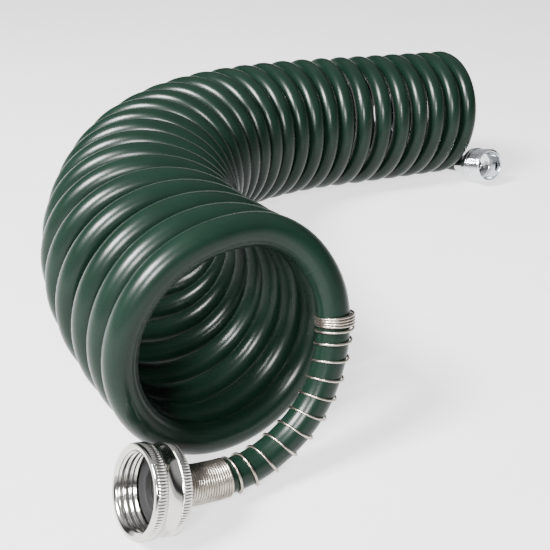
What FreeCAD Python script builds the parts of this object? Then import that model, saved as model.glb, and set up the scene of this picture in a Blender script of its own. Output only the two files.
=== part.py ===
"""A self-coiling garden hose, lying on the ground with its coil bent round to the right.

The coil is one fat tube of the coil's outer diameter. A tail leaves its front turn for the
swivel nut, inside a spring that guards the bend, and another leaves its last turn for the
male fitting. Millimetres, +Z up, the ground at Z = 0. The rear of the coil runs along +X.
"""
import FreeCAD, Part
import math
import os
import Sketcher

Vector = FreeCAD.Vector

SIZES = {
    # hose and coil
    "hose_radius": 6.35,
    "hose_bore_radius": 4.75,
    "coil_radius": 50.0,
    "coil_wall": 2.8,
    # hose thread, 3/4 inch, 11.5 threads per inch
    "thread_pitch": 2.209,
    "thread_half_groove": 0.55,
    # swivel nut, stations are distances behind its mouth
    "nut_length": 14.6,
    "nut_rim_radius": 16.25,
    "nut_waist_radius": 15.1,
    "nut_back_radius": 15.8,
    "nut_mouth_radius": 14.0,
    "nut_crest_radius": 12.85,
    "nut_root_radius": 13.6,
    "nut_thread_start": 0.9,
    "nut_thread_end": 8.4,
    "nut_chamber_radius": 13.15,
    "nut_back_bore_radius": 7.57,
    "nut_back_wall": 2.1,
    "nut_rim_end": 4.8,
    "nut_back_start": 10.5,
    "nut_edge": 0.8,
    "nut_groove_edge": 0.4,
    # washer and female tailpiece
    "washer_start": 8.6,
    "washer_thickness": 2.6,
    "washer_radius": 12.4,
    "washer_bore_radius": 7.5,
    "tailpiece_flange_radius": 12.2,
    "tailpiece_flange": 1.2,
    "tailpiece_neck_radius": 7.5,
    "tailpiece_neck_end": 15.6,
    "shank_radius": 4.7,
    "shank_bore_radius": 3.3,
    "tailpiece_shank_end": 29.4,
    # the crimped sleeve squeezes the hose to its own outside radius, under the bend guard
    "hose_end": 15.8,
    "ferrule_end": 29.0,
    "ferrule_radius": 6.3,
    "ferrule_bore_radius": 5.7,
    # bend guard, its lengths measured along the hose
    "front_bend": 40.5,
    "guard_wire": 1.0,
    "guard_bore_radius": 6.4,
    "guard_radius": 7.4,
    "guard_barrel_length": 21.3,
    "guard_open_length": 75.0,
    "guard_collar_radius": 7.8,
    "guard_collar_bore_radius": 6.8,
    "guard_collar_length": 5.2,
    # male fitting, stations are distances behind its mouth
    "male_crest_radius": 13.45,
    "male_root_radius": 12.3,
    "male_lip_radius": 12.2,
    "male_thread_start": 0.8,
    "male_thread_end": 13.2,
    "male_relief_end": 14.4,
    "male_collar_radius": 14.0,
    "male_collar_end": 19.0,
    "male_edge": 0.4,
    "male_cup_radius": 11.4,
    "male_cup_depth": 13.5,
    "male_neck_radius": 8.0,
    "male_neck_end": 21.0,
    "male_shank_end": 36.0,
    "male_hose_end": 21.2,
    "male_ferrule_radius": 7.6,
    "male_ferrule_end": 35.0,
}

NUT_THREADS = 3
MALE_THREADS = 5

# Where each fitting's mouth is on the ground plan, the way it faces, and how far it tips up.
NUT_MOUTH_XY = (-185.45, -172.25)
NUT_HEADING = 188.3
NUT_TILT = 19.0
MALE_MOUTH_XY = (180.9, 82.4)
MALE_HEADING = 272.0
MALE_TILT = 13.0

# The coil's axis on the ground plan, from its front mouth to its rear end.
COIL_AXIS = (
    (-136.0, -148.6),
    (-147.5, -75.6),
    (-131.5, -3.6),
    (-102.5, 63.4),
    (-50.5, 116.4),
    (20.5, 139.4),
    (92.5, 138.4),
    (159.0, 139.4),
)

# The front tail, from the top of the first turn down to the bend behind the swivel nut.
FRONT_ROUTE = (
    (-140.0, -141.0, 93.6),
    (-128.5, -139.5, 93.9),
    (-116.6, -141.0, 90.4),
    (-106.4, -145.2, 81.7),
    (-100.3, -150.8, 67.7),
    (-101.1, -156.0, 49.3),
    (-109.5, -161.1, 29.6),
    (-123.9, -164.1, 15.2),
)

# The rear tail: half a turn down the far side of the coil, then out to the male fitting.
REAR_TURN_X = (165.7, 172.5)
REAR_TURN_STEPS = 6
REAR_ROUTE = ((179.3, 128.2, 7.2),)

ARC_SHARE = 0.45

doc = FreeCAD.newDocument("recoil_hose")
sheet = doc.addObject("Spreadsheet::Sheet", "Sizes")


def fill_sheet():
    for row, (name, value) in enumerate(SIZES.items(), start=1):
        sheet.set(f"A{row}", name)
        sheet.set(f"B{row}", str(value))
        sheet.setAlias(f"B{row}", name)
    doc.recompute()


def size(name):
    return float(sheet.get(name))


def mouth_direction(heading, tilt):
    """Unit vector out of a fitting's mouth."""
    level = math.cos(math.radians(tilt))
    return Vector(
        level * math.cos(math.radians(heading)),
        level * math.sin(math.radians(heading)),
        math.sin(math.radians(tilt)),
    )


def resting_height(tilt, station, radius):
    """Height of a tipped fitting's mouth when the edge at that station touches the ground."""
    return station * math.sin(math.radians(tilt)) + radius * math.cos(math.radians(tilt))


def fitting_placement(mouth, facing):
    """Local +X runs back from the mouth into the hose."""
    return FreeCAD.Placement(mouth, FreeCAD.Rotation(Vector(1, 0, 0), facing * -1))


def origin_feature(body, role):
    return next(f for f in body.Origin.OriginFeatures if f.Role == role)


def revolved_body(name, profile, placement):
    """A body turned from a closed profile of (station, radius) expressions on the sheet."""
    body = doc.addObject("PartDesign::Body", name)
    body.Label = name
    sketch = body.newObject("Sketcher::SketchObject", name + "_profile")
    sketch.AttachmentSupport = (origin_feature(body, "XY_Plane"), [""])
    sketch.MapMode = "FlatFace"
    corners = [Vector(value(x), value(r), 0) for x, r in profile]
    count = len(corners)
    for i, corner in enumerate(corners):
        sketch.addGeometry(Part.LineSegment(corner, corners[(i + 1) % count]))
    for i in range(count):
        sketch.addConstraint(Sketcher.Constraint("Coincident", i, 2, (i + 1) % count, 1))
    for i, (station, radius) in enumerate(profile):
        bind(sketch, "DistanceX", i, corners[i].x, station)
        bind(sketch, "DistanceY", i, corners[i].y, radius)
    turned = body.newObject("PartDesign::Revolution", name + "_turned")
    turned.Profile = sketch
    turned.ReferenceAxis = (sketch, ["H_Axis"])
    turned.Angle = 360
    body.Placement = placement
    doc.recompute()
    return body


def bind(sketch, kind, line, distance, expression):
    """Holds a line's first corner at a distance from the origin that the sheet gives."""
    if expression == "0":
        axis = -2 if kind == "DistanceX" else -1
        sketch.addConstraint(Sketcher.Constraint("PointOnObject", line, 1, axis))
        return
    index = sketch.addConstraint(Sketcher.Constraint(kind, -1, 1, line, 1, distance))
    sketch.setExpression(f"Constraints[{index}]", expression)


def value(expression):
    """The number that an expression on the sheet stands for."""
    total = 0.0
    for term in expression.replace(" - ", " + -").split(" + "):
        sign = -1.0 if term.startswith("-") else 1.0
        product = sign
        for factor in term.lstrip("-").split(" * "):
            alias = factor.replace("Sizes.", "")
            product *= size(alias) if alias in SIZES else float(factor)
        total += product
    return total


def thread_grooves(start, crest, root, count):
    """Profile corners of V grooves a thread pitch apart, from the first one inward."""
    corners = []
    for i in range(count):
        middle = f"{start} + {i + 0.5} * Sizes.thread_pitch"
        corners.append((f"{middle} - Sizes.thread_half_groove", crest))
        corners.append((middle, root))
        corners.append((f"{middle} + Sizes.thread_half_groove", crest))
    return corners


def sleeve(name, inner, outer, start, end, placement):
    """A plain tube on a fitting's axis between two stations."""
    body = doc.addObject("Part::Cut", name)
    body.Label = name
    body.Base = cylinder(name + "_outside", outer, start, end)
    body.Tool = cylinder(name + "_bore", inner, start, end)
    body.Placement = placement
    doc.recompute()
    return body


def cylinder(name, radius, start, end):
    solid = doc.addObject("Part::Cylinder", name)
    solid.setExpression("Radius", radius)
    solid.setExpression("Height", f"{end} - ({start})")
    solid.setExpression("Placement.Base.x", start)
    solid.Placement.Rotation = FreeCAD.Rotation(Vector(0, 1, 0), 90)
    return solid


def rounded_path(name, points):
    """Straight runs through the points, joined by tangent arcs, as one wire."""
    points = [Vector(*p) for p in points]
    edges = []
    radii = []
    here = points[0]
    for before, corner, after in zip(points, points[1:], points[2:]):
        toward = (before - corner).normalize()
        onward = (after - corner).normalize()
        half_turn = (math.pi - toward.getAngle(onward)) / 2
        shorter = min((before - corner).Length, (after - corner).Length)
        radius = ARC_SHARE * shorter / math.tan(half_turn)
        first = corner + toward * ARC_SHARE * shorter
        last = corner + onward * ARC_SHARE * shorter
        bisector = (toward + onward).normalize()
        middle = corner + bisector * (radius / math.cos(half_turn) - radius)
        edges.append(Part.LineSegment(here, first).toShape())
        edges.append(Part.Arc(first, middle, last).toShape())
        radii.append(round(radius, 1))
        here = last
    edges.append(Part.LineSegment(here, points[-1]).toShape())
    print(name, "radii", radii)
    return Part.Wire(edges)


def path_stretch(wire, start, end):
    """The part of a wire between two distances along it."""
    edges = []
    done = 0.0
    for edge in wire.OrderedEdges:
        low = max(start - done, 0.0)
        high = min(end - done, edge.Length)
        if high - low > 0.01:
            first = edge.getParameterByLength(low)
            last = edge.getParameterByLength(high)
            edges.append(edge.Curve.toShape(first, last))
        done += edge.Length
    return Part.Wire(edges)


def pipe(wire, outer, inner):
    """A tube along a wire, its volume checked against its section times its length."""
    edge = wire.OrderedEdges[0]
    start = edge.valueAt(edge.FirstParameter)
    along = edge.tangentAt(edge.FirstParameter)
    rings = [Part.Wire(Part.makeCircle(radius, start, along)) for radius in (outer, inner)]
    solid, bore = (wire.makePipeShell([ring], True, False) for ring in rings)
    tube = solid.cut(bore)
    expected = math.pi * (outer**2 - inner**2) * wire.Length
    if abs(tube.Volume / expected - 1) > 0.01:
        raise RuntimeError(f"a tube's volume is {tube.Volume:.0f} and should be {expected:.0f}")
    return tube


def solid_feature(name, shape):
    feature = doc.addObject("Part::Feature", name)
    feature.Label = name
    feature.Shape = shape
    feature.Placement = FreeCAD.Placement()
    return feature


def axis_points(mouth, facing, *stations):
    return tuple(tuple(mouth - facing * size(station)) for station in stations)


def make_swivel_nut(placement):
    seat = "Sizes.nut_length - Sizes.nut_back_wall"
    crest, root = "Sizes.nut_crest_radius", "Sizes.nut_root_radius"
    outside = [
        ("0", "Sizes.nut_rim_radius - Sizes.nut_edge"),
        ("Sizes.nut_edge", "Sizes.nut_rim_radius"),
        ("Sizes.nut_rim_end", "Sizes.nut_rim_radius"),
        ("Sizes.nut_rim_end + Sizes.nut_groove_edge", "Sizes.nut_waist_radius"),
        ("Sizes.nut_back_start - Sizes.nut_groove_edge", "Sizes.nut_waist_radius"),
        ("Sizes.nut_back_start", "Sizes.nut_back_radius"),
        ("Sizes.nut_length - Sizes.nut_edge", "Sizes.nut_back_radius"),
        ("Sizes.nut_length", "Sizes.nut_back_radius - Sizes.nut_edge"),
    ]
    inside = [
        ("Sizes.nut_length", "Sizes.nut_back_bore_radius"),
        (seat, "Sizes.nut_back_bore_radius"),
        (seat, "Sizes.nut_chamber_radius"),
        ("Sizes.nut_thread_end", "Sizes.nut_chamber_radius"),
        ("Sizes.nut_thread_end", crest),
    ]
    grooves = thread_grooves("Sizes.nut_thread_start", crest, root, NUT_THREADS)
    mouth = [("Sizes.nut_thread_start", crest), ("0", "Sizes.nut_mouth_radius")]
    profile = outside + inside + grooves[::-1] + mouth
    return revolved_body("swivel_nut", profile, placement)


def make_tailpiece(placement):
    front = "Sizes.washer_start + Sizes.washer_thickness"
    behind = front + " + Sizes.tailpiece_flange"
    profile = [
        (front, "Sizes.shank_bore_radius"),
        (front, "Sizes.tailpiece_flange_radius"),
        (behind, "Sizes.tailpiece_flange_radius"),
        (behind, "Sizes.tailpiece_neck_radius"),
        ("Sizes.tailpiece_neck_end", "Sizes.tailpiece_neck_radius"),
        ("Sizes.tailpiece_neck_end", "Sizes.shank_radius"),
        ("Sizes.tailpiece_shank_end", "Sizes.shank_radius"),
        ("Sizes.tailpiece_shank_end", "Sizes.shank_bore_radius"),
    ]
    return revolved_body("female_tailpiece", profile, placement)


def make_male_fitting(placement):
    crest, root = "Sizes.male_crest_radius", "Sizes.male_root_radius"
    grooves = thread_grooves("Sizes.male_thread_start", crest, root, MALE_THREADS)
    profile = [("0", "Sizes.male_lip_radius"), ("Sizes.male_thread_start", crest)] + grooves
    profile += [
        ("Sizes.male_thread_end", crest),
        ("Sizes.male_thread_end", root),
        ("Sizes.male_relief_end", root),
        ("Sizes.male_relief_end", "Sizes.male_collar_radius - Sizes.male_edge"),
        ("Sizes.male_relief_end + Sizes.male_edge", "Sizes.male_collar_radius"),
        ("Sizes.male_collar_end - Sizes.male_edge", "Sizes.male_collar_radius"),
        ("Sizes.male_collar_end", "Sizes.male_collar_radius - Sizes.male_edge"),
        ("Sizes.male_collar_end", "Sizes.male_neck_radius"),
        ("Sizes.male_neck_end", "Sizes.male_neck_radius"),
        ("Sizes.male_neck_end", "Sizes.shank_radius"),
        ("Sizes.male_shank_end", "Sizes.shank_radius"),
        ("Sizes.male_shank_end", "Sizes.shank_bore_radius"),
        ("Sizes.male_cup_depth", "Sizes.shank_bore_radius"),
        ("Sizes.male_cup_depth", "Sizes.male_cup_radius"),
        ("0", "Sizes.male_cup_radius"),
    ]
    return revolved_body("male_fitting", profile, placement)


def make_coil():
    route = [(x, y, size("coil_radius")) for x, y in COIL_AXIS]
    outer = size("coil_radius")
    inner = outer - size("coil_wall")
    return solid_feature("hose_coil", pipe(rounded_path("coil axis", route), outer, inner))


def front_tail_path(mouth, facing):
    straight = axis_points(mouth, facing, "front_bend", "hose_end")
    return rounded_path("front tail", FRONT_ROUTE + straight)


def rear_tail_path(mouth, facing):
    """Half a turn round the coil's axis, seen as route points, then the route to the fitting."""
    axis_y = COIL_AXIS[-1][1]
    axis_z = size("coil_radius")
    step = math.pi / REAR_TURN_STEPS
    turn_radius = axis_z - size("hose_radius")
    corner_radius = turn_radius / math.cos(step / 2)
    x_start, x_end = REAR_TURN_X
    points = [(x_start, axis_y, axis_z + turn_radius)]
    for i in range(REAR_TURN_STEPS):
        angle = (i + 0.5) * step
        share = (i + 0.5) / REAR_TURN_STEPS
        points.append(
            (
                x_start + (x_end - x_start) * share,
                axis_y + corner_radius * math.sin(angle),
                axis_z + corner_radius * math.cos(angle),
            )
        )
    straight = axis_points(mouth, facing, "male_ferrule_end", "male_hose_end")
    return rounded_path("rear tail", points + list(REAR_ROUTE) + list(straight))


def make_front_tail(path, placement):
    """The front tail, squeezed thinner where the crimped sleeve holds it on the shank."""
    hose = pipe(path, size("hose_radius"), size("hose_bore_radius"))
    squeezed = size("ferrule_end") - size("hose_end")
    base = Vector(size("hose_end"), 0, 0)
    along = Vector(1, 0, 0)
    around = Part.makeCylinder(2 * size("hose_radius"), squeezed, base, along)
    kept = Part.makeCylinder(size("ferrule_bore_radius"), squeezed, base, along)
    taken = around.cut(kept)
    taken.Placement = placement
    return solid_feature("hose_front_tail", hose.cut(taken))


def make_rear_tail(path):
    tube = pipe(path, size("hose_radius"), size("hose_bore_radius"))
    return solid_feature("hose_rear_tail", tube)


def make_guard(path):
    """The bend guard: a close-wound barrel and open turns along the hose, and an end collar."""
    collar_end = path.Length - size("guard_barrel_length") - size("guard_open_length")
    collar_start = collar_end - size("guard_collar_length")
    turns = pipe(
        path_stretch(path, collar_end - size("guard_wire"), path.Length),
        size("guard_radius"),
        size("guard_bore_radius"),
    )
    collar = pipe(
        path_stretch(path, collar_start, collar_end),
        size("guard_collar_radius"),
        size("guard_collar_bore_radius"),
    )
    return solid_feature("bend_guard_spring", turns.fuse(collar).removeSplitter())


def check_and_export(pieces):
    for item in doc.Objects:
        if "Invalid" in item.State or "Error" in item.State:
            raise RuntimeError(f"{item.Name} failed to build")
    os.makedirs("parts", exist_ok=True)
    for piece in pieces:
        shape = piece.Shape
        if shape.isNull() or not shape.isValid() or len(shape.Solids) != 1:
            raise RuntimeError(f"{piece.Label} is not one valid solid")
        shape.exportStep(os.path.join("parts", piece.Label + ".step"))
        box = shape.BoundBox
        low = [round(v, 2) for v in (box.XMin, box.YMin, box.ZMin)]
        high = [round(v, 2) for v in (box.XMax, box.YMax, box.ZMax)]
        print(piece.Label, "volume", round(shape.Volume), "box", low, high)


fill_sheet()
back_edge = size("nut_length") - size("nut_edge")
nut_height = resting_height(NUT_TILT, back_edge, size("nut_back_radius"))
nut_mouth = Vector(*NUT_MOUTH_XY, nut_height)
nut_facing = mouth_direction(NUT_HEADING, NUT_TILT)
nut_place = fitting_placement(nut_mouth, nut_facing)

collar_edge = size("male_collar_end") - size("male_edge")
male_height = resting_height(MALE_TILT, collar_edge, size("male_collar_radius"))
male_mouth = Vector(*MALE_MOUTH_XY, male_height)
male_facing = mouth_direction(MALE_HEADING, MALE_TILT)
male_place = fitting_placement(male_mouth, male_facing)

front_path = front_tail_path(nut_mouth, nut_facing)
washer_end = "Sizes.washer_start + Sizes.washer_thickness"

sub_parts = [
    make_coil(),
    make_front_tail(front_path, nut_place),
    make_rear_tail(rear_tail_path(male_mouth, male_facing)),
    make_swivel_nut(nut_place),
    sleeve(
        "hose_washer",
        "Sizes.washer_bore_radius",
        "Sizes.washer_radius",
        "Sizes.washer_start",
        washer_end,
        nut_place,
    ),
    make_tailpiece(nut_place),
    sleeve(
        "female_ferrule",
        "Sizes.ferrule_bore_radius",
        "Sizes.ferrule_radius",
        "Sizes.hose_end",
        "Sizes.ferrule_end",
        nut_place,
    ),
    make_guard(front_path),
    make_male_fitting(male_place),
    sleeve(
        "male_ferrule",
        "Sizes.hose_radius",
        "Sizes.male_ferrule_radius",
        "Sizes.male_hose_end",
        "Sizes.male_ferrule_end",
        male_place,
    ),
]
doc.recompute()
check_and_export(sub_parts)
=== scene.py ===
import math

import bpy
import numpy as np
from mathutils import Matrix, Vector


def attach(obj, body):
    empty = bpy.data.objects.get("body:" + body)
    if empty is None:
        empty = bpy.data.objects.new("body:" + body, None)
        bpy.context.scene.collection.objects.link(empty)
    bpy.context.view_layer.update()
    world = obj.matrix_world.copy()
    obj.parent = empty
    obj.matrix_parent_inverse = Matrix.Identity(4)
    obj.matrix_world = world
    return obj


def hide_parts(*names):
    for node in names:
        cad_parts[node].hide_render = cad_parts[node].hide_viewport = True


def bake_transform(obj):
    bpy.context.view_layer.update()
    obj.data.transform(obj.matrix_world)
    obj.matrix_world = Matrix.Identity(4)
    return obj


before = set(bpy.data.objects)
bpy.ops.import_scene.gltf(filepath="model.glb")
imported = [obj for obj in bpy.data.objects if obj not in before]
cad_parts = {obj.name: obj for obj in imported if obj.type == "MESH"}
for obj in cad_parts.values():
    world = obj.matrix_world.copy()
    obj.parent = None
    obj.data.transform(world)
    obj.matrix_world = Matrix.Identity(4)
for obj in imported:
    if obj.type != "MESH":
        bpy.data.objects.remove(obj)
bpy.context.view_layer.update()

MM = 0.001
UP = np.array([0.0, 0.0, 1.0])


# ---------------------------------------------------------------- camera

CAMERA_AT = (-0.2255, -0.3596, 0.19076)
CAMERA_HEADING = 64.17
CAMERA_DOWN = 25.728
CAMERA_ROLL = -0.0254
LENS = 47.5
SENSOR_WIDTH = 36.0


def make_camera():
    """A camera at the photograph's viewing angle: heading and downward angle in degrees."""
    heading = math.radians(CAMERA_HEADING)
    down = math.radians(CAMERA_DOWN)
    look = Vector(
        (
            math.cos(heading) * math.cos(down),
            math.sin(heading) * math.cos(down),
            -math.sin(down),
        )
    )
    right = Vector((math.sin(heading), -math.cos(heading), 0.0))
    up = right.cross(look)
    c, s = math.cos(CAMERA_ROLL), math.sin(CAMERA_ROLL)
    right, up = right * c - up * s, right * s + up * c
    data = bpy.data.cameras.new("camera")
    data.lens = LENS
    data.sensor_width = SENSOR_WIDTH
    data.clip_start = 0.01
    data.clip_end = 50.0
    data.dof.use_dof = False
    camera = bpy.data.objects.new("camera", data)
    bpy.context.scene.collection.objects.link(camera)
    rotation = Matrix((right, up, -look)).transposed().to_4x4()
    camera.matrix_world = Matrix.Translation(CAMERA_AT) @ rotation
    bpy.context.scene.camera = camera


make_camera()


# ---------------------------------------------------------------- sizes and route, from the CAD

HOSE_RADIUS = 6.35 * MM
COIL_RADIUS = 50.0 * MM
TURN_RADIUS = COIL_RADIUS - HOSE_RADIUS

# Where each fitting's mouth is, in metres, and the way it faces, in degrees.
NUT_MOUTH = (-0.18545, -0.17225, 0.0194321)
NUT_HEADING = 188.3
NUT_TILT = 19.0
MALE_MOUTH = (0.1809, 0.0824, 0.0178252)
MALE_HEADING = 272.0
MALE_TILT = 13.0

# The route of the coil's axis on the ground plan, then that of the front tail from the first
# turn's top to the bend behind the nut, as the CAD has them. The CAD tube starts one point sooner,
# inside the coil, where the spline has the first turn instead.
COIL_AXIS = (
    (-0.1360, -0.1486),
    (-0.1475, -0.0756),
    (-0.1315, -0.0036),
    (-0.1025, 0.0634),
    (-0.0505, 0.1164),
    (0.0205, 0.1394),
    (0.0925, 0.1384),
    (0.1590, 0.1394),
)
FRONT_ROUTE = (
    (-0.1285, -0.1395, 0.0939),
    (-0.1166, -0.1410, 0.0904),
    (-0.1064, -0.1452, 0.0817),
    (-0.1003, -0.1508, 0.0677),
    (-0.1011, -0.1560, 0.0493),
    (-0.1095, -0.1611, 0.0296),
    (-0.1239, -0.1641, 0.0152),
)
# The rear tail: half a turn down the far side of the coil, then out to the male fitting.
REAR_TURN_X = (0.1657, 0.1725)
REAR_TURN_STEPS = 6
REAR_ROUTE = ((0.1793, 0.1282, 0.0072),)
# Distances behind the fittings' mouths.
FRONT_BEND = 40.5 * MM
HOSE_END = 15.8 * MM
MALE_STRAIGHT = 35.0 * MM
MALE_HOSE_END = 21.2 * MM

TURNS = 28
TURN_POINTS = 16
# Degrees past the top at which the first turn's points start, and where its top is on the axis.
FIRST_TURN_ANGLE = 3.3
FIRST_TURN_AT = 8.0 * MM
# Spacing of the turns along the coil, in millimetres, evenly spread from the front to the rear.
SPACING = (10.5, 19.4, 25.2, 17.1, 16.2, 15.2)
LEAST_SPACING = 13.0
# The front turns lean: their lower right sides stand forward of the rest, less from turn to turn.
LEAN = 6.6 * MM
LEAN_AT = 225.0
LEAN_TURNS = 7.0

# The axis is read from its spline at this many points per control point, and its direction at a
# turn is taken over a short step. The rear run is the part of the axis beyond REAR_RUN_Y.
AXIS_RESOLUTION = 21
AXIS_STEP = 1.0 * MM
REAR_RUN_Y = 0.13
ANGLE_STEPS = 4000


def mouth_axis(heading, tilt):
    level = math.cos(math.radians(tilt))
    return np.array(
        [
            level * math.cos(math.radians(heading)),
            level * math.sin(math.radians(heading)),
            math.sin(math.radians(tilt)),
        ]
    )


NUT_FACING = mouth_axis(NUT_HEADING, NUT_TILT)
MALE_FACING = mouth_axis(MALE_HEADING, MALE_TILT)


def on_axis(mouth, facing, station):
    return np.array(mouth) - facing * station


def coil_axis_line():
    """Points and travelled distances along the axis, straight at its start and past its end."""
    corners = [np.array((*corner, COIL_RADIUS)) for corner in COIL_AXIS]
    half_run = (corners[-1] - corners[-2]) / 2
    run_on = [corners[-1] + half_run * count for count in (1, 2, 3)]
    line = smooth_line([corners[0], *corners, *run_on], AXIS_RESOLUTION)[:, :2]
    return line, lengths(line)


def coil_turns():
    """Control points of the coil's turns, from just behind the first top to the last top."""
    line, travelled = coil_axis_line()
    start = math.radians(FIRST_TURN_ANGLE)
    end = 2 * math.pi * (TURNS - 1)
    angles = np.linspace(start, end, ANGLE_STEPS)
    knots = np.linspace(0, TURNS, len(SPACING))
    pitch = np.maximum(np.interp(1 + angles / (2 * math.pi), knots, SPACING), LEAST_SPACING)
    climb = np.r_[0.0, np.cumsum((pitch[1:] + pitch[:-1]) / 2 * np.diff(angles))]
    rear_run = line[:, 1] > REAR_RUN_Y
    rear = np.interp(REAR_TURN_X[0], line[rear_run][:, 0], travelled[rear_run])
    station = FIRST_TURN_AT + climb / climb[-1] * (rear - FIRST_TURN_AT)
    lean = (1 + np.cos(angles - math.radians(LEAN_AT))) / 2
    station -= LEAN * lean * np.exp(-angles / (2 * math.pi) / LEAN_TURNS)
    count = round((end - start) / (2 * math.pi) * TURN_POINTS)
    step = (end - start) / count
    corner_radius = TURN_RADIUS / math.cos(step / 2)
    points = []
    for i in range(count):
        angle = start + (i + 0.5) * step
        s = np.interp(angle, angles, station)
        at = np.array([np.interp(s, travelled, line[:, k]) for k in (0, 1)])
        ahead = np.array([np.interp(s + AXIS_STEP, travelled, line[:, k]) for k in (0, 1)])
        toward = (ahead - at) / np.linalg.norm(ahead - at)
        right = np.array([toward[1], -toward[0], 0.0])
        centre = np.array([at[0], at[1], COIL_RADIUS])
        points.append(centre + corner_radius * (UP * math.cos(angle) - right * math.sin(angle)))
    return points


def rear_turn():
    """Control points of the half turn that the rear tail starts with."""
    step = math.pi / REAR_TURN_STEPS
    corner_radius = TURN_RADIUS / math.cos(step / 2)
    axis_y = COIL_AXIS[-1][1]
    points = []
    for i in range(REAR_TURN_STEPS):
        angle = (i + 0.5) * step
        share = (i + 0.5) / REAR_TURN_STEPS
        points.append(
            (
                REAR_TURN_X[0] + (REAR_TURN_X[1] - REAR_TURN_X[0]) * share,
                axis_y + corner_radius * math.sin(angle),
                COIL_RADIUS + corner_radius * math.cos(angle),
            )
        )
    return points


def hose_route():
    """Control points of the whole hose, from the swivel nut's end to the male fitting's."""
    route = [on_axis(NUT_MOUTH, NUT_FACING, s) for s in (HOSE_END, FRONT_BEND)]
    route += list(reversed(FRONT_ROUTE))
    route += coil_turns()
    route += rear_turn()
    route += list(REAR_ROUTE)
    route += [on_axis(MALE_MOUTH, MALE_FACING, s) for s in (MALE_STRAIGHT, MALE_HOSE_END)]
    return route


def smooth_line(points, resolution):
    """The points of a NURBS spline that has these control points."""
    data = bpy.data.curves.new("hose_line", "CURVE")
    data.dimensions = "3D"
    spline = data.splines.new("NURBS")
    spline.points.add(len(points) - 1)
    for point, place in zip(spline.points, points):
        point.co = (*place, 1.0)
    spline.order_u = 3
    spline.use_endpoint_u = True
    spline.resolution_u = resolution
    data.resolution_u = resolution
    curve = bpy.data.objects.new("hose_line", data)
    bpy.context.scene.collection.objects.link(curve)
    bpy.context.view_layer.update()
    mesh = bpy.data.meshes.new_from_object(curve)
    line = np.array([v.co for v in mesh.vertices], float)
    bpy.data.objects.remove(curve)
    bpy.data.meshes.remove(mesh)
    return line


def lengths(line):
    return np.r_[0.0, np.cumsum(np.linalg.norm(np.diff(line, axis=0), axis=1))]


def frames(line):
    """Tangent and two side directions at each point, carried along without twisting."""
    ahead = np.gradient(line, axis=0)
    ahead /= np.linalg.norm(ahead, axis=1)[:, None]
    side = np.cross(ahead[0], UP)
    side /= np.linalg.norm(side)
    sides = [side]
    for direction in ahead[1:]:
        side = sides[-1] - direction * np.dot(sides[-1], direction)
        sides.append(side / np.linalg.norm(side))
    sides = np.array(sides)
    return ahead, sides, np.cross(ahead, sides)


# ---------------------------------------------------------------- mesh making


def mesh_object(name, rows, closed_rows=False, caps=False):
    """A smooth-shaded mesh from rows of points, each of which closes on itself."""
    rows = np.asarray(rows, float)
    count, around = rows.shape[:2]
    index = np.arange(count * around).reshape(count, around)
    lower = index if closed_rows else index[:-1]
    upper = np.roll(index, -1, axis=0) if closed_rows else index[1:]
    faces = np.stack(
        [lower, np.roll(lower, -1, axis=1), np.roll(upper, -1, axis=1), upper], axis=-1
    ).reshape(-1, 4)
    faces = faces.tolist()
    if caps:
        faces.append(index[0][::-1].tolist())
        faces.append(index[-1].tolist())
    mesh = bpy.data.meshes.new(name)
    mesh.from_pydata(rows.reshape(-1, 3).tolist(), [], faces)
    mesh.validate()
    mesh.update()
    obj = bpy.data.objects.new(name, mesh)
    bpy.context.scene.collection.objects.link(obj)
    mesh.polygons.foreach_set("use_smooth", [True] * len(mesh.polygons))
    return obj


def add_uv(obj, around, along):
    """A uv map with turns round the row as u, unbroken at the seam, and along as v."""
    mesh = obj.data
    layer = mesh.uv_layers.new(name="hose_uv")
    corner = np.zeros(len(mesh.loops), int)
    mesh.loops.foreach_get("vertex_index", corner)
    u = (corner % around) / around
    v = np.asarray(along)[corner // around]
    start = np.zeros(len(mesh.polygons), int)
    total = np.zeros(len(mesh.polygons), int)
    mesh.polygons.foreach_get("loop_start", start)
    mesh.polygons.foreach_get("loop_total", total)
    for first, size in zip(start[total == 4], total[total == 4]):
        part = u[first : first + size]
        if part.max() - part.min() > 0.5:
            part[part < 0.5] += 1.0
    layer.data.foreach_set("uv", np.stack([u, v], axis=1).ravel().astype(np.float32))


def tube_rows(line, radius, around):
    """Rows of points round a tube of one radius along a line."""
    _, side, other = frames(line)
    angle = np.linspace(0, 2 * math.pi, around, endpoint=False)
    return (
        line[:, None]
        + radius * np.cos(angle)[None, :, None] * side[:, None]
        + radius * np.sin(angle)[None, :, None] * other[:, None]
    )


def turned(name, mouth, facing, profile, around, relief=None):
    """A turned piece from a closed profile of (station, radius) in mm; relief adds to the radius."""
    back = -facing
    side = np.cross(UP, back)
    side /= np.linalg.norm(side)
    other = np.cross(back, side)
    angle = np.linspace(0, 2 * math.pi, around, endpoint=False)
    rows = []
    spokes = np.cos(angle)[:, None] * side + np.sin(angle)[:, None] * other
    for station, radius in profile:
        r = np.full(around, float(radius))
        if relief is not None:
            r = r + relief(station, radius, angle)
        rows.append(np.array(mouth) + back * station * MM + spokes * (r * MM)[:, None])
    return mesh_object(name, rows, closed_rows=True)


def rounded(points, radius, steps=3):
    """A closed profile with each corner cut by a small arc; corners with no room stay sharp."""
    out = []
    count = len(points)
    for i in range(count):
        before, corner, after = (np.array(points[(i + k) % count], float) for k in (-1, 0, 1))
        a, b = before - corner, after - corner
        la, lb = np.linalg.norm(a), np.linalg.norm(b)
        reach = min(radius, la * 0.4, lb * 0.4)
        first, last = corner + a / la * reach, corner + b / lb * reach
        for t in np.linspace(0, 1, steps):
            out.append(tuple(first * (1 - t) ** 2 + corner * 2 * t * (1 - t) + last * t * t))
    return out


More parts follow.
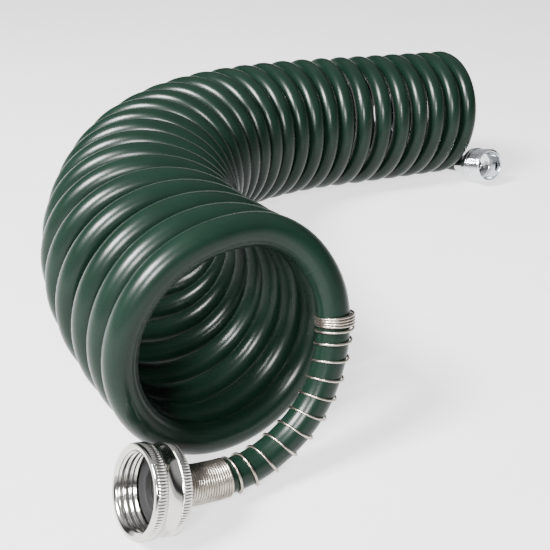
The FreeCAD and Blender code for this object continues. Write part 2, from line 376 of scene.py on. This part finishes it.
def thread_shape(phase):
    """0 on a thread's crest to 1 at its root, over one pitch."""
    wave = 0.5 - 0.5 * np.cos(2 * math.pi * phase)
    return np.clip((wave - 0.25) / 0.5, 0.0, 1.0)


# ---------------------------------------------------------------- materials


class Nodes:
    """Short names for building a node tree."""

    def __init__(self, name):
        self.material = bpy.data.materials.new(name)
        self.material.use_nodes = True
        self.tree = self.material.node_tree
        self.tree.nodes.clear()
        self.out = self.tree.nodes.new("ShaderNodeOutputMaterial")
        self.shader = self.tree.nodes.new("ShaderNodeBsdfPrincipled")
        self.tree.links.new(self.shader.outputs["BSDF"], self.out.inputs["Surface"])

    def add(self, kind, **settings):
        node = self.tree.nodes.new(kind)
        for key, value in settings.items():
            setattr(node, key, value)
        return node

    def link(self, a, b):
        self.tree.links.new(a, b)

    def set(self, **values):
        for key, value in values.items():
            self.shader.inputs[key.replace("_", " ")].default_value = value

    def ramp(self, source, stops):
        node = self.add("ShaderNodeValToRGB")
        for element, (place, colour) in zip(node.color_ramp.elements, stops):
            element.position = place
            element.color = (*colour, 1.0)
        self.link(source, node.inputs["Fac"])
        return node.outputs["Color"]

    def range(self, source, low, high):
        node = self.add("ShaderNodeMapRange")
        node.inputs["To Min"].default_value = low
        node.inputs["To Max"].default_value = high
        self.link(source, node.inputs["Value"])
        return node.outputs["Result"]

    def noise(self, vector, scale, detail=3.0, roughness=0.5):
        node = self.add("ShaderNodeTexNoise")
        node.inputs["Scale"].default_value = scale
        node.inputs["Detail"].default_value = detail
        node.inputs["Roughness"].default_value = roughness
        self.link(vector, node.inputs["Vector"])
        return node.outputs["Fac"]

    def scaled(self, vector, scale):
        node = self.add("ShaderNodeMapping")
        node.inputs["Scale"].default_value = scale
        self.link(vector, node.inputs["Vector"])
        return node.outputs["Vector"]

    def bump(self, height, strength, distance):
        node = self.add("ShaderNodeBump")
        node.inputs["Strength"].default_value = strength
        node.inputs["Distance"].default_value = distance
        self.link(height, node.inputs["Height"])
        return node


def hose_material():
    """Extruded polyurethane: faint draw lines along the hose, soft haze and a glossy skin."""
    n = Nodes("hose_polyurethane")
    uv = n.add("ShaderNodeUVMap", uv_map="hose_uv").outputs["UV"]
    place = n.add("ShaderNodeTexCoord").outputs["Object"]
    lines = n.noise(n.scaled(uv, (60.0, 3.0, 1.0)), 1.0, 4.0, 0.6)
    haze = n.noise(place, 45.0, 3.0, 0.55)
    fine = n.noise(n.scaled(uv, (9.0, 260.0, 1.0)), 1.0, 3.0, 0.6)
    mix = n.add("ShaderNodeMix", data_type="FLOAT")
    mix.inputs["Factor"].default_value = 0.4
    n.link(haze, mix.inputs["A"])
    n.link(lines, mix.inputs["B"])
    colour = n.ramp(
        mix.outputs["Result"],
        [(0.3, (0.0021, 0.0068, 0.0043)), (0.7, (0.0032, 0.0105, 0.0066))],
    )
    n.link(colour, n.shader.inputs["Base Color"])
    n.link(n.range(haze, 0.23, 0.31), n.shader.inputs["Roughness"])
    bump = n.bump(lines, 0.05, 0.0002)
    second = n.bump(fine, 0.04, 0.0002)
    n.link(bump.outputs["Normal"], second.inputs["Normal"])
    n.link(second.outputs["Normal"], n.shader.inputs["Normal"])
    n.set(IOR=1.26)
    return n.material


def plated_material(name, colour, roughness, speckle=0.04, bump=0.03):
    """Bright plating with fine wear: the gloss varies a little from place to place."""
    n = Nodes(name)
    place = n.add("ShaderNodeTexCoord").outputs["Object"]
    broad = n.noise(place, 160.0, 4.0, 0.6)
    fine = n.noise(place, 1500.0, 2.0, 0.5)
    low = tuple(c * 0.88 for c in colour)
    tint = n.ramp(broad, [(0.3, low), (0.65, colour)])
    n.link(tint, n.shader.inputs["Base Color"])
    n.link(n.range(fine, roughness - speckle, roughness + speckle), n.shader.inputs["Roughness"])
    n.link(n.bump(fine, bump, 0.0001).outputs["Normal"], n.shader.inputs["Normal"])
    n.set(Metallic=1.0)
    return n.material


def wire_material():
    """Drawn stainless wire: duller, a little warm, darker in patches."""
    n = Nodes("spring_wire")
    place = n.add("ShaderNodeTexCoord").outputs["Object"]
    broad = n.noise(place, 220.0, 4.0, 0.6)
    fine = n.noise(place, 2500.0, 2.0, 0.5)
    tint = n.ramp(broad, [(0.3, (0.22, 0.19, 0.16)), (0.7, (0.44, 0.40, 0.35))])
    n.link(tint, n.shader.inputs["Base Color"])
    n.link(n.range(fine, 0.22, 0.36), n.shader.inputs["Roughness"])
    n.set(Metallic=1.0)
    return n.material


def rubber_material():
    """Black rubber, matt and faintly grained."""
    n = Nodes("washer_rubber")
    place = n.add("ShaderNodeTexCoord").outputs["Object"]
    fine = n.noise(place, 900.0, 4.0, 0.6)
    tint = n.ramp(fine, [(0.3, (0.005, 0.005, 0.005)), (0.7, (0.011, 0.011, 0.012))])
    n.link(tint, n.shader.inputs["Base Color"])
    n.link(n.range(fine, 0.55, 0.75), n.shader.inputs["Roughness"])
    n.link(n.bump(fine, 0.2, 0.0002).outputs["Normal"], n.shader.inputs["Normal"])
    n.set(Specular_IOR_Level=0.2)
    return n.material


def floor_material():
    """Pale paper, lit a little from within so that shadows on it stay faint."""
    n = Nodes("floor_paper")
    place = n.add("ShaderNodeTexCoord").outputs["Object"]
    fine = n.noise(place, 30.0, 3.0, 0.5)
    tint = n.ramp(fine, [(0.3, (0.30, 0.30, 0.30)), (0.7, (0.32, 0.32, 0.32))])
    n.link(tint, n.shader.inputs["Base Color"])
    n.set(Roughness=0.9, Specular_IOR_Level=0.1)
    n.set(Emission_Color=(1.0, 1.0, 1.0, 1.0), Emission_Strength=1.7)
    return n.material


def dress(obj, material):
    """Gives a piece its material."""
    obj.data.materials.clear()
    obj.data.materials.append(material)


hose_look = hose_material()
nickel = plated_material("nut_nickel", (0.56, 0.55, 0.52), 0.13)
chrome = plated_material("male_chrome", (0.80, 0.82, 0.84), 0.12)
brass_plate = plated_material("tailpiece_nickel", (0.62, 0.60, 0.57), 0.24)
wire_look = wire_material()
rubber_look = rubber_material()


# ---------------------------------------------------------------- hose

HOSE_RESOLUTION = 5
HOSE_AROUND = 24

line = smooth_line(hose_route(), HOSE_RESOLUTION)
travelled = lengths(line)
hose = mesh_object("hose", tube_rows(line, HOSE_RADIUS, HOSE_AROUND), caps=True)
add_uv(hose, HOSE_AROUND, travelled)
dress(hose, hose_look)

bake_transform(hose)
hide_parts("hose_coil", "hose_front_tail", "hose_rear_tail")


# ---------------------------------------------------------------- bend guard spring

WIRE_RADIUS = 0.5 * MM
WIRE_AROUND = 8
BARREL_TURNS = 19
COLLAR_TURNS = 4
# In mm: where the wire starts on the hose, how far each turn travels along it where the turns are
# close, how far each open turn does from the barrel to the collar, and the helix's radii.
BARREL_START = 0.6
CLOSE_PITCH = 1.06
OPEN_PITCHES = (5.2, 6.8, 8.6, 8.2, 7.6, 8.0, 7.4, 7.2, 7.6, 6.2, 3.6)
HELIX_RADIUS = 6.9
COLLAR_HELIX_RADIUS = 7.3
# The open turns hang off the outside of the bend by this much, in mm, the collar by rather more.
OPEN_SAG = 0.25
COLLAR_SAG = 0.55
# Away from the coil's axis, on the outside of the bend that the guard holds.
BEND_OUTWARD = np.array([0.75, -0.45, -0.35])
# In radians round the hose, where the wire starts.
SPRING_START_ANGLE = 2.4


def spring_turns():
    """Number, travel, radius and sag at each whole turn of the wire."""
    pitches = [CLOSE_PITCH] * BARREL_TURNS + list(OPEN_PITCHES) + [CLOSE_PITCH] * COLLAR_TURNS
    travel = np.r_[BARREL_START, BARREL_START + np.cumsum(pitches)]
    last_open = BARREL_TURNS + len(OPEN_PITCHES)
    turns = np.arange(len(travel))
    radius = np.where(turns < last_open, HELIX_RADIUS, COLLAR_HELIX_RADIUS)
    sag = np.where(turns <= BARREL_TURNS, 0.0, np.where(turns < last_open, OPEN_SAG, COLLAR_SAG))
    return turns, travel, radius, sag


def spring_line(steps=24):
    """The wire's middle line, wound round the hose's line with this many steps a turn."""
    _, side, other = frames(line)
    turns, travel, radius, sag = spring_turns()
    places = []
    for turn in np.arange(0, turns[-1] + 1e-6, 1.0 / steps):
        at, r, hang = (np.interp(turn, turns, values) * MM for values in (travel, radius, sag))
        centre, u, v = (
            np.array([np.interp(at, travelled, rows[:, k]) for k in range(3)])
            for rows in (line, side, other)
        )
        angle = SPRING_START_ANGLE + 2 * math.pi * turn
        spoke = u * math.cos(angle) + v * math.sin(angle)
        places.append(centre + spoke * r + BEND_OUTWARD * hang)
    return np.array(places)


spring = mesh_object("bend_guard", tube_rows(spring_line(), WIRE_RADIUS, WIRE_AROUND), caps=True)
dress(spring, wire_look)
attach(spring, "hose")
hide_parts("bend_guard_spring")


# ---------------------------------------------------------------- swivel nut

# Stations behind the mouth and radii, in mm.
THREAD_PITCH = 2.209
THREAD_STEP = 0.19
RIBS = 96
NUT_AROUND = RIBS * 8
RIM_RIBS = (1.15, 4.55)
BACK_RIBS = (10.55, 13.6)
RIBS_OVER = 15.4
RIB_HEIGHT = 0.34
NUT_CREST = 12.85
NUT_THREAD = (0.95, 8.1)
NUT_THREAD_DEPTH = 0.72
WASHER_AROUND = 96
WASHER_EDGE = 0.35


def nut_profile():
    """The knurled rim, plain waist and knurled back band, then the bore from back to front."""
    outside = [
        (0.0, 14.5), (0.0, 15.0), (0.1, 15.45), (0.35, 15.75), (0.8, 15.86),
        (1.1, 15.88), (1.2, 15.9), (4.5, 15.9), (4.62, 15.75), (4.8, 15.35),
        (5.05, 15.1), (7.6, 15.1), (10.1, 15.1), (10.3, 15.2), (10.5, 15.4),
        (10.6, 15.45), (13.5, 15.45), (13.7, 15.42), (14.1, 15.1), (14.4, 14.6), (14.6, 13.9),
        (14.6, 8.4), (14.5, 7.8), (14.3, 7.57), (12.6, 7.57), (12.5, 7.8), (12.5, 12.9),
        (12.35, 13.15), (8.6, 13.15), (8.4, 13.0), (8.3, NUT_CREST),
    ]
    start, end = NUT_THREAD
    inside = [(station, NUT_CREST) for station in np.arange(end, start, -THREAD_STEP)]
    return outside + inside + [(0.75, 13.3), (0.4, 13.9), (0.12, 14.2)]


def between(station, band):
    return band[0] <= station <= band[1]


def nut_relief(station, radius, angle):
    """Ribs on the two knurled bands, and a thread cut into the bore that fades at both ends."""
    if radius > RIBS_OVER and (between(station, RIM_RIBS) or between(station, BACK_RIBS)):
        return np.clip(0.75 + np.cos(RIBS * angle), 0.0, 1.0) * RIB_HEIGHT
    if radius == NUT_CREST and between(station, NUT_THREAD):
        phase = station / THREAD_PITCH - angle / (2 * math.pi)
        fade = min(1.0, (station - 0.8) / 0.5, (8.15 - station) / 0.7)
        return thread_shape(phase) * NUT_THREAD_DEPTH * max(0.0, fade)
    return 0.0


nut = turned("hose_nut", NUT_MOUTH, NUT_FACING, nut_profile(), NUT_AROUND, nut_relief)
dress(nut, nickel)
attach(nut, "nut")
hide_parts("swivel_nut")

washer = turned(
    "sealing_washer",
    NUT_MOUTH,
    NUT_FACING,
    rounded([(8.6, 7.5), (8.6, 12.4), (11.2, 12.4), (11.2, 7.5)], WASHER_EDGE),
    WASHER_AROUND,
)
dress(washer, rubber_look)
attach(washer, "hose")
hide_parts("hose_washer")


# ---------------------------------------------------------------- male fitting


MALE_AROUND = 160
MALE_CREST = 13.45
MALE_THREAD = (0.8, 12.9)
MALE_THREAD_DEPTH = 1.1


def male_profile():
    """The threaded end, its neck and collar and the shank, then the bore and the mouth's cup."""
    outside = [(0.0, 11.9), (0.1, 12.15), (0.3, 12.35), (0.6, 12.75)]
    outside += [(station, MALE_CREST) for station in np.arange(*MALE_THREAD, THREAD_STEP)]
    outside += [
        (13.15, 13.3), (13.25, 12.3), (14.3, 12.3), (14.4, 12.5), (14.45, 13.5),
        (14.6, 13.85), (14.85, 14.0), (18.55, 14.0), (18.8, 13.85), (18.95, 13.5),
        (19.0, 12.9), (19.0, 8.3), (19.1, 8.05), (20.9, 8.0), (21.0, 7.8), (21.0, 4.75),
        (35.7, 4.7), (36.0, 4.45), (36.0, 3.4), (35.9, 3.3),
    ]
    inside = [
        (14.1, 3.3), (13.75, 3.4), (13.45, 4.0), (13.1, 9.4), (12.8, 10.4),
        (12.2, 11.1), (11.4, 11.35), (6.0, 11.4), (0.5, 11.4), (0.15, 11.5), (0.0, 11.7),
    ]
    return outside + inside


def male_relief(station, radius, angle):
    """A thread cut into the crest, fading at both ends."""
    if radius != MALE_CREST:
        return 0.0
    phase = station / THREAD_PITCH - angle / (2 * math.pi)
    fade = min(1.0, (station - 0.55) / 0.5, (13.2 - station) / 0.6)
    return -thread_shape(phase) * MALE_THREAD_DEPTH * max(0.0, fade)


male = turned("male_end", MALE_MOUTH, MALE_FACING, male_profile(), MALE_AROUND, male_relief)
dress(male, chrome)
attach(male, "far_end")
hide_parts("male_fitting")


# ---------------------------------------------------------------- CAD pieces that stay

for name, look in (
    ("female_tailpiece", brass_plate),
    ("female_ferrule", brass_plate),
    ("male_ferrule", chrome),
):
    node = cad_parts[name]
    if node.material_slots:
        for entry in node.material_slots:
            entry.material = look
    else:
        node.data.materials.append(look)

print("hose length", round(float(travelled[-1]), 4))


# ---------------------------------------------------------------- floor and light

bpy.ops.mesh.primitive_plane_add(size=14.0, location=(0.0, 2.0, -0.0002))
floor = bpy.context.active_object
floor.name = "floor"
floor.data.materials.append(floor_material())


def softbox(name, at, aim, side, power):
    """A square white light of that many watts, pointed from one place at another."""
    data = bpy.data.lights.new(name, "AREA")
    data.shape = "SQUARE"
    data.size = side
    data.energy = power
    light = bpy.data.objects.new(name, data)
    bpy.context.scene.collection.objects.link(light)
    light.location = at
    light.rotation_euler = (Vector(aim) - Vector(at)).to_track_quat("-Z", "Y").to_euler()


softbox("key", (-1.19, -0.19, 1.16), (-0.12, -0.08, 0.06), 0.42, 155.0)
softbox("front", (-0.62, -0.78, 0.62), (0.05, 0.05, 0.05), 0.18, 22.0)

# The studio's walls, by the height of the direction's unit vector: bright near the ground, then a
# dark band that gives the plating something to reflect, and a softer light overhead.
SKY_STRENGTH = 1.15
SKY_STOPS = (
    (0.16, (1.0, 1.0, 1.0, 1.0)),
    (0.26, (0.04, 0.04, 0.045, 1.0)),
    (0.45, (0.04, 0.04, 0.045, 1.0)),
    (0.7, (0.5, 0.5, 0.51, 1.0)),
)


def make_world():
    world = bpy.data.worlds.new("studio")
    bpy.context.scene.world = world
    world.use_nodes = True
    nodes = world.node_tree.nodes
    link = world.node_tree.links.new
    direction = nodes.new("ShaderNodeTexCoord")
    height = nodes.new("ShaderNodeSeparateXYZ")
    shade = nodes.new("ShaderNodeValToRGB")
    elements = shade.color_ramp.elements
    elements[0].position, elements[0].color = SKY_STOPS[0]
    elements[1].position, elements[1].color = SKY_STOPS[-1]
    for place, colour in SKY_STOPS[1:-1]:
        elements.new(place).color = colour
    background = nodes["Background"]
    background.inputs["Strength"].default_value = SKY_STRENGTH
    link(direction.outputs["Generated"], height.inputs["Vector"])
    link(height.outputs["Z"], shade.inputs["Fac"])
    link(shade.outputs["Color"], background.inputs["Color"])


make_world()
